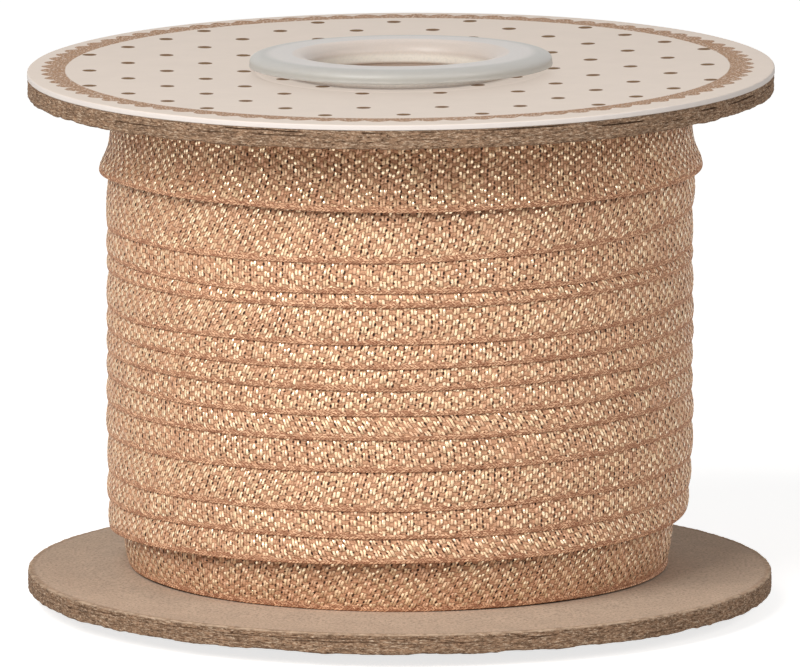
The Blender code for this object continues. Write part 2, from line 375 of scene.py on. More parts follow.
def surface(name, points, material, wrap_rows=True, wrap_columns=True, maps=None, values=None):
    """A piece from a grid of points, closed at its ends by flat caps where its columns don't wrap.

    maps holds, for each UV map, a function of corner rows and columns that gives the corners' places.
    values holds numbers for each point. Faces are turned round where they would point inwards.
    """
    rows, columns = points.shape[:2]
    row, column = grid_quads(rows, columns, wrap_rows, wrap_columns)
    flat = points.reshape(-1, 3)
    quads = (row % rows) * columns + column % columns
    inward = signed_volume(flat, quads) < 0
    if inward:
        quads, row, column = quads[:, ::-1], row[:, ::-1], column[:, ::-1]
    caps = []
    if not wrap_columns:
        loop = np.arange(rows) * columns
        caps = [loop[::-1], loop + columns - 1] if inward else [loop, loop[::-1] + columns - 1]
    corners = np.concatenate([quads.ravel(), *caps]).astype(np.int32)
    sizes = np.array([4] * len(quads) + [len(cap) for cap in caps])
    mesh = bpy.data.meshes.new(name)
    mesh.vertices.add(len(flat))
    mesh.vertices.foreach_set("co", flat.astype(np.float32).ravel())
    mesh.loops.add(len(corners))
    mesh.loops.foreach_set("vertex_index", corners)
    mesh.polygons.add(len(sizes))
    mesh.polygons.foreach_set("loop_start", (np.cumsum(sizes) - sizes).astype(np.int32))
    mesh.update(calc_edges=True)
    is_smooth = np.ones(len(sizes), bool)
    is_smooth[len(quads) :] = False
    mesh.polygons.foreach_set("use_smooth", is_smooth)
    for map_name, place in (maps or {}).items():
        places = np.zeros((len(corners), 2), np.float32)
        places[: quads.size] = np.stack(place(row, column), -1).reshape(-1, 2)
        mesh.uv_layers.new(name=map_name).data.foreach_set("uv", places.ravel())
    for value_name, numbers in (values or {}).items():
        spread = np.broadcast_to(numbers, (rows, columns)).astype(np.float32)
        mesh.attributes.new(value_name, "FLOAT", "POINT").data.foreach_set("value", spread.ravel())
    piece = bpy.data.objects.new(name, mesh)
    bpy.context.scene.collection.objects.link(piece)
    mesh.materials.append(material)
    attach(piece, BODY)
    return piece


def folded_strip(columns, folds, low=0.0, high=1.0, margin=0.004):
    """Map of a long strip, cut into `folds` lengths that lie one over another between low and high.

    Returns a function of the corners' columns, of each quad's first column, and of a share across the strip.
    """
    per_fold = -(-columns // folds)

    def place(column, first, across):
        fold = first // per_fold
        along = (column - fold * per_fold) / per_fold
        tall = (high - low) / folds
        return margin + along * (1 - 2 * margin), low + fold * tall + margin + across * (tall - 2 * margin)

    return place


# ----------------------------------------------------------------------------------------------------
# Shader nodes


def arithmetic(operation, swapped=False):
    """A method for one of Python's operators, which adds a Math node."""

    def step(self, other):
        return self.nodes.math(operation, *((other, self) if swapped else (self, other)))

    return step


class Value:
    """A node's output. Arithmetic with it adds Math nodes to its tree, and gives the last one's output."""

    def __init__(self, nodes, socket):
        self.nodes = nodes
        self.socket = socket

    __add__ = __radd__ = arithmetic("ADD")
    __mul__ = __rmul__ = arithmetic("MULTIPLY")
    __sub__ = arithmetic("SUBTRACT")
    __rsub__ = arithmetic("SUBTRACT", swapped=True)
    __truediv__ = arithmetic("DIVIDE")
    __mod__ = arithmetic("FLOORED_MODULO")
    __pow__ = arithmetic("POWER")

    def __abs__(self):
        return self.nodes.math("ABSOLUTE", self)

    def __floor__(self):
        return self.nodes.math("FLOOR", self)

    def __round__(self):
        return self.nodes.math("ROUND", self)


class Nodes:
    """Short ways to add nodes to a tree. Most give an output of the new node, as a Value."""

    def __init__(self, tree):
        self.tree = tree

    def node(self, kind, inputs=None, **settings):
        """A node with its settings, and its inputs set or joined by name or number."""
        node = self.tree.nodes.new(kind)
        for key, value in settings.items():
            setattr(node, key, value)
        for key, value in (inputs or {}).items():
            socket = node.inputs[key]
            if isinstance(value, Value):
                self.tree.links.new(value.socket, socket)
            elif socket.type == "RGBA":
                socket.default_value = (*value, 1.0)
            else:
                socket.default_value = value
        return node

    def add(self, kind, inputs=None, output=0, **settings):
        """One output of a new node."""
        return Value(self, self.node(kind, inputs, **settings).outputs[output])

    def outputs(self, kind, inputs=None, **settings):
        """All outputs of a new node, by name."""
        return {socket.name: Value(self, socket) for socket in self.node(kind, inputs, **settings).outputs}

    def math(self, operation, *values):
        """One step of arithmetic."""
        return self.add("ShaderNodeMath", dict(enumerate(values)), operation=operation)

    def distance(self, x, y):
        """The square root of x^2 + y^2."""
        return self.math("SQRT", x * x + y * y)

    def ramp(self, value, start, end, low=0.0, high=1.0):
        """Smoothstep from low at start to high at end."""
        inputs = {"Value": value, "From Min": start, "From Max": end, "To Min": low, "To Max": high}
        return self.add("ShaderNodeMapRange", inputs, interpolation_type="SMOOTHSTEP")

    def mix(self, mask, first, second):
        """From the first colour where the mask is 0 to the second where it is 1."""
        return self.add("ShaderNodeMix", {0: mask, 6: first, 7: second}, output=2, data_type="RGBA")

    def layers(self, tone, *layers):
        """Colours laid over a tone, one after another, each by its mask."""
        for mask, laid in layers:
            tone = self.mix(mask, tone, laid)
        return tone

    def noise(self, vector, scale, detail=2.0, roughness=0.5):
        """Noise from 0 to 1, about 0.5. On the object's place, the scale is in lumps a metre."""
        inputs = {"Vector": vector, "Scale": scale, "Detail": detail, "Roughness": roughness}
        return self.add("ShaderNodeTexNoise", inputs)

    def chance(self, *place):
        """White noise: random numbers for each place."""
        return self.outputs("ShaderNodeTexWhiteNoise", {"Vector": self.vector(*place)}, noise_dimensions="3D")

    def stretched(self, vector, x, y, z):
        """A vector scaled along each axis."""
        return self.add("ShaderNodeMapping", {"Vector": vector, "Scale": (x, y, z)})

    def parts(self, vector):
        """A vector's three numbers."""
        return tuple(self.outputs("ShaderNodeSeparateXYZ", {0: vector}).values())

    def vector(self, x, y=0.0, z=0.0):
        """Three numbers as a vector."""
        return self.add("ShaderNodeCombineXYZ", {0: x, 1: y, 2: z})

    def object_place(self):
        """The place on the object, in metres."""
        return self.add("ShaderNodeTexCoord", output="Object")

    def value_of(self, name):
        """A number that the mesh holds for each point."""
        return self.add("ShaderNodeAttribute", output="Fac", attribute_name=name)

    def group(self, tree, **inputs):
        """A node group's outputs, by name."""
        return self.outputs("ShaderNodeGroup", inputs, node_tree=tree)

    def bump(self, height, strength, distance, **inputs):
        """The normal of a surface with that height, as a share of the distance."""
        inputs = {"Height": height, "Strength": strength, "Distance": distance, **inputs}
        return self.add("ShaderNodeBump", inputs)

    def seen(self):
        """1 for the camera, in gloss and through glass, and 0 where only light is gathered."""
        path = self.outputs("ShaderNodeLightPath")
        in_gloss = self.math("MAXIMUM", path["Is Glossy Ray"], path["Is Transmission Ray"])
        return self.math("MAXIMUM", path["Is Camera Ray"], in_gloss)

    def finish(self, **inputs):
        """The Principled shader and the output, with the shader's inputs set by name."""
        shader = self.add("ShaderNodeBsdfPrincipled", {key.replace("_", " "): inputs[key] for key in inputs})
        self.node("ShaderNodeOutputMaterial", {0: shader})


def new_material(name):
    """An empty node material and the short ways to fill it."""
    material = bpy.data.materials.new(name)
    material.use_nodes = True
    material.node_tree.nodes.clear()
    return material, Nodes(material.node_tree)


def new_group(name, **inputs):
    """A node group with inputs of the kinds given: its Nodes, and its inputs by name."""
    tree = bpy.data.node_groups.new(name, "ShaderNodeTree")
    for key, kind in inputs.items():
        tree.interface.new_socket(key, in_out="INPUT", socket_type="NodeSocket" + kind)
    nodes = Nodes(tree)
    return nodes, nodes.outputs("NodeGroupInput")


def put_out(nodes, **results):
    """Ends a node group with outputs that have the results' names."""
    for key, value in results.items():
        kind = "NodeSocketFloat" if value.socket.type == "VALUE" else "NodeSocketColor"
        nodes.tree.interface.new_socket(key, in_out="OUTPUT", socket_type=kind)
    nodes.node("NodeGroupOutput", results)
    return nodes.tree


def fibre_group():
    """Paper and board: cloudy tone, and fine pale and dark fibres, with a height for the bump."""
    name = "Paper Fibres"
    if name in bpy.data.node_groups:
        return bpy.data.node_groups[name]
    nodes, given = new_group(name, Vector="Vector", Size="Float")
    scaled = nodes.add("ShaderNodeVectorMath", {0: given["Vector"], 3: given["Size"]}, operation="SCALE")
    clouds = nodes.noise(scaled, 0.35, 4.0, 0.6)
    fine = nodes.noise(scaled, 6.0, 3.0, 0.65)
    lengthways = nodes.noise(nodes.stretched(scaled, 1.6, 7.0, 7.0), 1.0)
    crossways = nodes.noise(nodes.stretched(scaled, 7.0, 1.6, 7.0), 1.0)
    pale = nodes.math("MAXIMUM", nodes.ramp(lengthways, 0.64, 0.74), nodes.ramp(crossways, 0.64, 0.74))
    dark = nodes.ramp(nodes.noise(nodes.stretched(scaled, 1.0, 1.0, 1.3), 3.1), 0.7, 0.8)
    return put_out(nodes, Clouds=clouds, Pale=pale, Dark=dark, Height=fine + pale * 0.4 + clouds * 0.5)


def weave_group(looks):
    """Plain weave of paired weft strands, from a place in millimetres along and across the ribbon.

    Column i is the pair of strands at i columns along. Its floats lie every two crossings, and the next
    column's lie one crossing further up. t runs from -1 to 1 from the middle of one gap between floats to
    the next, and s from -1 to 1 across one strand. A float is the rounded box where (2 fa)^6 + (t/h)^4 < 1,
    with fa the place in the column and h its own half length. An outline for painted shade follows its rim
    and runs between its two strands. Holes, which the material fills with painted shade, open at the corners
    between columns and crossings. Crest marks where a painted highlight sits on a strand. Along the edges
    the selvage has short stitches that slant in turn to either side. Every strand, float, hole and stitch
    has its own chance numbers.
    """
    name = "Ribbon Weave"
    if name in bpy.data.node_groups:
        return bpy.data.node_groups[name]
    nodes, given = new_group(name, Vector="Vector", Width="Float")
    ramp = nodes.ramp
    along, across, _ = nodes.parts(given["Vector"])
    column = along / (looks.column / MM)
    rows = across / (looks.crossing / MM)
    i = floor(column)
    fa = column - i - 0.5
    side = nodes.math("SIGN", fa)
    strand = i * 2 + side
    stray = nodes.add("ShaderNodeTexWhiteNoise", {"W": strand}, noise_dimensions="1D")
    crossing = ((stray - 0.5) * 0.3 + rows + i) * 0.5
    j = floor(crossing)
    t = (crossing - j) * 2 - 1

    own = nodes.chance(strand, j)
    own_x, own_y, own_z = nodes.parts(own["Color"])
    pair_x, pair_y, _ = nodes.parts(nodes.chance(i, j, 7.0)["Color"])
    out, up = abs(fa), abs(t)
    reach = up / (pair_x * 0.28 + 0.5)
    body = ramp((out * 2) ** 6 + reach**4, 1.3, 0.55)
    s = (out - 0.25) / 0.24
    cord = ramp(s * s, 1.3, 0.25, 0.3, 1.0)
    outline = nodes.math("MAXIMUM", body * (1 - body) * 4, body * ramp(abs(s), 0.72, 1.0))
    place = t + (own_y * 0.7 - 0.35)
    crest = ramp(s * s * 1.1 + place * place * 6.5 + own_x * 0.7, 1.6, 0.8)
    beyond = 1 - up
    bar = ramp(beyond * beyond, 0.14, 0.03)

    corner, level = round(column), round(rows)
    corner_x, corner_y, corner_z = nodes.parts(nodes.chance(corner, level, 3.0)["Color"])
    tall = abs(corner_z * 0.3 + (rows - level) - 0.15) / (corner_x * 0.24 + 0.14)
    wide = (0.5 - out) / 0.18
    hole = ramp(wide * wide + tall * tall, 1.7, 0.2) * ramp(corner_y, 0.1, 0.75, 0.15, 1.0)

    edge = nodes.math("MINIMUM", across, given["Width"] - across)
    dense = looks.selvage / MM
    selvage = ramp((own_x - 0.5) * 0.3 + edge, dense + 0.05, dense - 0.05)
    bend = nodes.noise(given["Vector"], 2.2) - 0.5
    row_place = (bend * 0.3 + edge) / 0.24
    row = floor(row_place)
    row_up = row_place - row - 0.5
    slant = row % 2 * 1.6 - 0.8
    stitch_place = bend * 1.6 + along / 0.4 + row_up * slant + row * 0.37
    stitch_row = floor(stitch_place)
    stitch_along = stitch_place - stitch_row - 0.5
    stitch = ramp(row_up * row_up * 3.2 + stitch_along * stitch_along * 5.5, 1.3, 0.5)
    stitch = stitch * ramp(nodes.chance(stitch_row, row, 5.0)["Value"], 0.0, 0.9, 0.3, 1.0)

    kept = body * (1 - selvage * 0.6) * 0.36
    tilt_along = (s * side * 0.5 + (own_x * 0.7 - 0.35)) * kept + 0.5
    tilt_up = (t * 0.7 + (own_y * 0.6 - 0.3)) * kept + 0.5
    return put_out(
        nodes,
        Float=body * cord,
        Crest=crest * body,
        Bar=bar,
        Hole=hole,
        Selvage=selvage,
        Stitch=stitch,
        Tone=own_z,
        Outline=outline,
        Lit=own["Value"] * 0.75 + pair_y * 0.25,
        Tilt=nodes.vector(tilt_along, tilt_up, 1.0),
    )


# ----------------------------------------------------------------------------------------------------
# Materials


def shaded(tone, times):
    """A colour made so many times as bright."""
    return [min(part * times, 1.0) for part in tone]


def board_material(looks):
    """Greyboard: cloudy fibrous faces, and an edge of coarse grit with dark splits and pale flecks."""
    material, nodes = new_material("greyboard")
    ramp = nodes.ramp
    place = nodes.object_place()
    fibres = nodes.group(fibre_group(), Vector=place, Size=1 / MM)
    speckle = nodes.noise(place, 3600.0, 3.0, 0.7)
    face = nodes.layers(
        shaded(looks.face, 0.93),
        (ramp(fibres["Clouds"], 0.3, 0.7), shaded(looks.face, 1.05)),
        (fibres["Pale"] * 0.45, shaded(looks.fleck, 1.25)),
        (ramp(speckle, 0.56, 0.34, 0.0, 0.9), shaded(looks.face, 0.62)),
        (fibres["Dark"] * 0.4, looks.edge),
    )
    plies = nodes.noise(nodes.stretched(place, 1000, 1000, 3000), 1.0, 3.0, 0.6)
    lines = nodes.noise(nodes.stretched(place, 700, 700, 8000), 1.0)
    grit = nodes.noise(nodes.stretched(place, 1900, 1900, 7600), 1.0, 2.0, 0.7)
    fine = nodes.noise(nodes.stretched(place, 4200, 4200, 11000), 1.0, 1.0)
    edge = nodes.layers(
        shaded(looks.edge, 0.68),
        (ramp(plies, 0.3, 0.7), shaded(looks.edge, 1.3)),
        (ramp(grit, 0.54, 0.68), looks.fleck),
        (ramp(grit, 0.46, 0.3), looks.split),
        (ramp(fine, 0.44, 0.26, 0.0, 0.8), looks.split),
        (ramp(fine, 0.62, 0.72, 0.0, 0.7), looks.fleck),
        (ramp(lines, 0.38, 0.28, 0.0, 0.7), looks.split),
        # Painted shade inside the splits between plies
        (nodes.math("MINIMUM", nodes.value_of("split"), 1.0), looks.split),
        # Pale fuzz with a painted highlight along the corner that faces up
        (nodes.value_of("fuzz_and_highlight") * 0.8, looks.fleck),
    )
    rim = nodes.value_of("rim")
    nodes.finish(
        Base_Color=nodes.mix(rim, face, edge),
        Roughness=fibres["Clouds"] * 0.15 + 0.8,
        Specular_IOR_Level=0.25,
        Normal=nodes.bump(fibres["Height"] + rim * (plies + grit * 2.5), 0.5, 0.07 * MM),
    )
    return material


def label_material(looks):
    """Cream print with staggered dots and a scalloped lace border, and a white cut edge.

    A dot lies at every whole place along a row, and at the halves in every second row. The border runs from
    its inside out to valley + scallop x |sin(scallops x angle / 2 + 0.8)|.
    """
    material, nodes = new_material("printed_label")
    ramp = nodes.ramp
    soft = 0.05 * MM  # half the width over which an inked edge fades
    clip = 0.1 * MM  # the width over which dots fade where they are left out
    dots_end = 33 * MM
    blank_x, blank_y = 10 * MM, 1.5 * MM  # half the blank place's sizes
    place = nodes.object_place()
    x, y, _ = nodes.parts(place)
    most_ragged = 0.2 * MM  # how far ink strays over its edges
    ragged = (nodes.noise(place, 6000.0) - 0.5) * most_ragged

    right, up = x - looks.dot_x, y - looks.dot_y
    row = (up * cos(looks.dot_turn) - right * sin(looks.dot_turn)) / looks.dot_up
    nearest = round(row)
    along = right * cos(looks.dot_turn) + up * sin(looks.dot_turn)
    spot = along / looks.dot_across - nearest % 2 * 0.5
    from_dot = nodes.distance((spot - round(spot)) * looks.dot_across, (row - nearest) * looks.dot_up)

    from_x, from_y = x - looks.border_x, y - looks.border_y
    radius = nodes.distance(from_x, from_y)
    angle = nodes.math("ARCTAN2", from_y, from_x)
    wave = abs(nodes.math("SINE", angle * (looks.scallops / 2) + 0.8))
    outline = wave * looks.scallop + looks.border_valley
    border = ramp(radius + ragged - outline, soft, -soft)
    border = border * ramp(radius + ragged, looks.border_inside - soft, looks.border_inside + soft)
    blank = ramp(abs(x), blank_x, blank_x - clip) * ramp(abs(y - looks.blank_y), blank_y, blank_y - clip)
    dot = ramp(from_dot + ragged, looks.dot + soft, looks.dot - soft)
    dot = dot * (1 - border) * ramp(radius, dots_end, dots_end - clip) * (1 - blank)

    cells = {"Vector": place, "Scale": 1 / looks.lace_cell}
    loops = nodes.add("ShaderNodeTexVoronoi", cells, output="Distance", feature="DISTANCE_TO_EDGE")
    threads = ramp(loops, 0.05, 0.2)
    blots = ramp(nodes.noise(place, 2600.0), 0.56, 0.66)
    glints = nodes.noise(place, 5200.0, 1.0)
    fibres = nodes.group(fibre_group(), Vector=place, Size=1 / MM)
    ground = nodes.mix(ramp(fibres["Clouds"], 0.25, 0.75), shaded(looks.ground, 0.97), looks.ground)
    lace = nodes.layers(
        shaded(looks.lace, 0.8),
        (threads, shaded(looks.lace, 1.12)),
        (ramp(glints, 0.5, 0.3, 0.0, 0.75), looks.ink),
        (ramp(glints, 0.54, 0.68, 0.0, 0.8), ground),
        (blots * threads * 0.5, ground),
    )
    printed = nodes.layers(ground, (border, lace), (dot, looks.ink), (fibres["Dark"] * 0.06, looks.ink))
    nodes.finish(
        Base_Color=nodes.mix(nodes.value_of("bare"), printed, looks.paper),
        Roughness=dot * 0.25 + 0.62,
        Specular_IOR_Level=0.25,
        Normal=nodes.bump(fibres["Height"], 0.12, 0.03 * MM),
    )
    return material


def hub_material(looks, top):
    """Milky polypropylene, browner where the core is behind it, with painted light and shade: greyer on the
    flange's side as painted shade, lighter near its foot as a painted highlight, with a painted glow in the
    bore and darker plastic further down that is partly painted shade.

    The depth is from the nearer flange's outer face, and the tones change with it and with the radius.
    Light that is gathered passes most of it, so that the label under the flange isn't dark, while to the
    eye it is solid.
    """
    material, nodes = new_material("milky_plastic")
    ramp = nodes.ramp
    place = nodes.object_place()
    x, y, z = nodes.parts(place)
    radius = nodes.distance(x, y)
    middle = top / 2
    leaning = ramp(z, top * 0.4, top * 0.6) * (y * looks.nod - looks.lift)
    depth = middle - abs(z + leaning - middle)
    # Painted shade: the flange's side turns greyer outwards and further down from its top
    side_shade_start, side_shade_end = 11.9 * MM, 13.1 * MM
    side = ramp(radius, side_shade_start, side_shade_end, 0.0, 0.8) + ramp(depth, 0.3 * MM, 1.0 * MM, 0.0, 0.25)
    # Painted highlight: near the foot the side's painted shade is halved, so the tone is lighter there
    foot = ramp(depth, 1.15 * MM, 1.35 * MM) * 0.5
    inside = ramp(radius, 10.4 * MM, 9.95 * MM)
    bands = nodes.noise(nodes.stretched(place, 40, 40, 1300), 1.0)
    grain = nodes.noise(place, 5200.0)
    wall = nodes.layers(
        shaded(looks.backed, 0.9),
        (ramp(bands, 0.35, 0.65), shaded(looks.backed, 1.08)),
        # Painted glow partway down the bore
        (ramp(depth, 1.0 * MM, 1.5 * MM, 0.0, 0.8), looks.lit),
        # Darker plastic from the groove down: partly the core behind it, partly painted shade
        (ramp(depth, looks.groove_place - 0.3 * MM, looks.groove_place + 0.15 * MM), looks.deep),
    )
    tone = nodes.layers(
        looks.plastic,
        (side * (1 - foot), looks.thin),
        (inside, wall),
        # Random grain, mixed a little towards the colour of the side's painted shade
        (ramp(grain, 0.4, 0.7, 0.0, 0.12), looks.thin),
    )
    path = nodes.outputs("ShaderNodeLightPath")
    through = nodes.math("MAXIMUM", path["Is Shadow Ray"], path["Is Diffuse Ray"])
    nodes.finish(
        Base_Color=tone,
        Roughness=grain * 0.12 + 0.36,
        Subsurface_Weight=0.7,
        Subsurface_Radius=(1.0, 0.95, 0.9),
        Subsurface_Scale=3 * MM,
        Alpha=1 - through * looks.clear,
        Normal=nodes.bump(grain, 0.1, 0.03 * MM),
    )
    return material


def ribbon_material(name, looks, width, from_map):
    """Woven peach and gold strands that glitter, with painted highlights on some and painted shade in the gaps
    and holes between them, and a dull stitched selvage.

    The inner layers have no map of their own, so their weave follows the angle at their radius, and the
    height.
    """
    material, nodes = new_material(name)
    ramp = nodes.ramp
    if from_map:
        place = nodes.add("ShaderNodeUVMap", uv_map=WEAVE_MAP)
    else:
        x, y, z = nodes.parts(nodes.object_place())
        place = nodes.vector(nodes.math("ARCTAN2", x, y) * INNER_RADIUS, z * (1 / MM))
    weave = nodes.group(weave_group(looks), Vector=place, Width=width)
    fine = nodes.noise(place, 4.6, 1.0)
    slow = nodes.noise(place, 0.16, 3.0)
    lively = weave["Lit"] + (nodes.noise(place, 0.6) * 0.9 - 0.45)
    # Where a painted highlight lies; it also makes those strands glossier and more metallic
    spark = weave["Crest"] * ramp(lively, 0.48, 0.72)
    # Between the floats the warp is mixed with painted shade
    between = [0.6 * a + 0.4 * b for a, b in zip(looks.shade, looks.warp)]
    strand = nodes.layers(
        looks.peach, (weave["Tone"], looks.gold), (ramp(fine, 0.48, 0.24, 0.0, 0.6), looks.shade)
    )
    field = nodes.layers(
        between,
        (weave["Bar"] * ramp(fine, 0.3, 0.62), looks.warp),
        (weave["Float"], strand),
        # Painted shade along each float's outline
        (weave["Outline"] * ramp(fine, 0.62, 0.38, 0.4, 1.0), looks.shade),
        # Painted shade in the holes, and deeper painted shade in the strongest ones
        (ramp(weave["Hole"], 0.1, 0.6), looks.shade),
        (ramp(weave["Hole"] - lively * 0.25, 0.45, 0.8), looks.pit),
        # Painted highlight
        (spark, looks.spark),
    )
    seam = nodes.mix(weave["Stitch"] * ramp(fine, 0.25, 0.5, 0.5, 1.0), looks.seam, looks.stitch)
    inner = 1 - weave["Selvage"] * 0.85
    height = weave["Float"] + weave["Stitch"] * weave["Selvage"] * 0.7
    facing = {}
    if from_map:
        tilt = {"Color": weave["Tilt"], "Strength": 1.0}
        facing["Normal"] = nodes.add("ShaderNodeNormalMap", tilt, space="TANGENT", uv_map=WEAVE_MAP)
    tone = nodes.mix(weave["Selvage"], field, seam)
    nodes.finish(
        Base_Color=nodes.mix(ramp(slow, 0.35, 0.7, 0.0, 0.12), tone, looks.warp),
        Roughness=0.72 - (weave["Float"] * 0.26 + spark * 0.24) * inner,
        Metallic=(weave["Float"] * 0.25 + spark * 0.7) * inner,
        Specular_IOR_Level=0.3,
        Normal=nodes.bump(height, 0.5, 0.05 * MM, **facing),
    )
    return material


def core_material(looks):
    """Brown paper tube."""
    material, nodes = new_material("core_paper")
    fibres = nodes.group(fibre_group(), Vector=nodes.object_place(), Size=1 / MM)
    tone = nodes.layers(
        shaded(looks.edge, 0.6),
        (fibres["Clouds"], shaded(looks.edge, 0.85)),
        (fibres["Pale"] * 0.3, looks.fleck),
    )
    bump = nodes.bump(fibres["Height"], 0.3, 0.04 * MM)
    nodes.finish(Base_Color=tone, Roughness=fibres["Clouds"] * 0.1 + 0.82, Normal=bump)
    return material


def tape_material(looks):
    """Thin clear film, a little wavy."""
    material, nodes = new_material("clear_film")
    waves = nodes.noise(nodes.stretched(nodes.object_place(), 300, 300, 900), 1.0)
    bump = nodes.bump(waves, 0.15, 0.04 * MM)
    nodes.finish(Base_Color=looks.film, Roughness=waves * 0.15 + 0.08, Alpha=0.22, Normal=bump)
    return material


# ----------------------------------------------------------------------------------------------------
# Boards, label and hub


def joined(*parts):
    """Parts of a section, one after another, as one column of a grid."""
    return np.concatenate(parts)[:, None]


def all_round(steps):
    """Evenly spaced angles once round, as one row of a grid."""
    return (np.arange(steps) / steps * TURN)[None, :]


def lifted(points, looks, rim_radius, dished=1.0):
    """Leans the upper disc up to the right by the tilt and to the front by the nod, and dishes it.

    The dish rises with the radius outside its start, and comes to nothing at the rim. dished is its share.
    """
    x, y = points[..., 0], points[..., 1]
    dish = looks.dish * (np.maximum(np.hypot(x, y), looks.dish_from) - rim_radius)
    points[..., 2] += looks.tilt * x - looks.nod * y + dished * np.minimum(dish, 0)


def disc_section(inner, outer, low, high, rounding, edge_rows):
    """A disc's section, a closed loop: radius, height, how far it is rim, and how it faces outwards and up.

    It runs out along the top face in shortening steps, round the upper corner, down the edge, round the
    lower corner and back in. Its first ring is double, so that the corner at the hole stays sharp.
    """
    shelf = outer - rounding
    out = inner + (shelf - inner) * (1 - np.linspace(1, 0, 12, endpoint=False) ** 1.6)
    out = np.concatenate([[inner], out])
    sine, cosine = arc(0, 90, 6)
    down = np.linspace(high - rounding, low + rounding, edge_rows)[1:-1]
    flat, wall = np.ones(len(out)), np.ones(len(down))
    fuzzy = smooth(1 - (shelf - out) / (0.25 * MM))
    return (
        joined(out, shelf + rounding * sine, outer * wall, shelf + rounding * cosine, out[::-1]),
        joined(high * flat, high - rounding * (1 - cosine), down, low + rounding * (1 - sine), low * flat),
        joined(fuzzy, np.ones(6), wall, np.ones(6), fuzzy[::-1]),
        joined(0 * flat, sine, wall, cosine, 0 * flat),
        joined(flat, cosine, 0 * wall, -sine, -flat),
    )


# Where each disc's edge splits, in sevenths of its thickness, and how deep each split is
PLIES = 7
SPLITS = {
    "top_disc": ((2, 0.3), (3, 0.4), (4, 0.8), (5, 1.4), (6, 1.1)),
    "bottom_disc": ((2, 0.5), (4, 0.4), (5, 0.5)),
}


def disc(node, looks, material, seed, upper):
    """A greyboard disc: a turned section whose edge is roughened by fibres and split between its plies.

    Along the edge the surface moves out by fractal noise, and in at each split: depth x exp(-((z - split's
    height) / width)^2), where the split's height and its presence wander by noise. The lower corner is
    frayed: it hangs down by slow noise, which fades out up the edge. Under the label the upper corner stays
    plain. The lower disc's top swells up by mound x smoothstep, from the mound's end inwards.
    """
    inner, outer, low, high = node_ring(node)
    section = disc_section(inner, outer, low, high, looks.rounding, looks.edge_rows)
    radius, height, rim, outward, upward = section
    angles = all_round(looks.steps)
    around = TURN * outer / MM
    up, thickness = (height - low) / MM, (high - low) / MM

    def strays(length, row, offset, octaves=1):
        """Noise in lumps of a length in millimetres round the disc, which closes on itself."""
        lumps = round(around / length)
        return fractal(angles * outer / MM * lumps / around, row, seed + offset, lumps, octaves)

    fibre = strays(0.7, up / 0.2, 0, 3) + 0.6 * strays(0.35, up / 0.15, 7, 2)
    split = 0.0
    for ply, strength in SPLITS[node]:
        wander = strays(14.0, ply, 20) * 0.1 + strays(2.6, ply, 25) * 0.05
        present = smooth(strays(9.0, ply, 30) * 3 + 0.1) * smooth(strays(2.6, ply, 35) * 2 + 0.7)
        away = (up - thickness * ply / PLIES - wander) * MM / looks.crack_width
        split = np.maximum(split, np.exp(-(away**2)) * present * strength)
    outwards = rim * (looks.relief * fibre - looks.crack * split * outward)
    swell = looks.relief * 0.25 * strays(9.0, radius / MM / 6, 40) * (1 - rim)
    if upper:
        outwards = outwards * (1 - smooth(upward * 2))
    else:
        swell = swell + looks.mound * smooth((looks.mound_end - radius) / looks.mound_run) * (upward > 0)
    hang = strays(2.6, 3.5, 50, 3) * looks.fray * rim * smooth(1.2 - up / 0.9)
    points = turned(radius + outwards * outward, height + (outwards * 0.6 + swell) * upward - hang, angles)
    if upper:
        lifted(points, looks, outer, smooth((up - 0.2) / (thickness - 0.4)))
    # Pale fuzz and painted highlight on the rim where it faces up
    fuzz_and_highlight = rim * smooth(upward * 1.6 - 0.2) * (0.4 + 0.6 * smooth(fibre + 0.5))
    rows = len(radius)
    face = 1 + len(radius[rim[:, 0] < 1]) // 2  # rows of one flat face
    reach = 0.24 / outer

    def place(row, column):
        """Rows on the top face and the bottom face lie flat, side by side; the edge is folded under them."""
        line = row % rows
        first = np.minimum(column[:, :1], column[:, 1:2])
        share_down = np.clip((line - face + 1) / (rows - 2 * face + 2), 0, 1)
        strip_x, strip_y = folded_strip(looks.steps, 6, 0.0, 0.48)(column, first, share_down)
        theta = column / looks.steps * TURN
        on_edge = ((row.min(1) >= face - 1) & (row.max(1) <= rows - face))[:, None]
        lower = (row.min(1) > rows // 2)[:, None]
        flat_x = np.where(lower, 0.75, 0.25) + radius[line, 0] * reach * np.sin(theta)
        flat_y = 0.745 - radius[line, 0] * reach * np.cos(theta)
        return np.where(on_edge, strip_x, flat_x), np.where(on_edge, strip_y, flat_y)

    values = {"rim": rim, "split": split * rim, "fuzz_and_highlight": fuzz_and_highlight}
    piece = surface(node + "_board", points, material, maps={BAKE_MAP: place}, values=values)
    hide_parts(node)


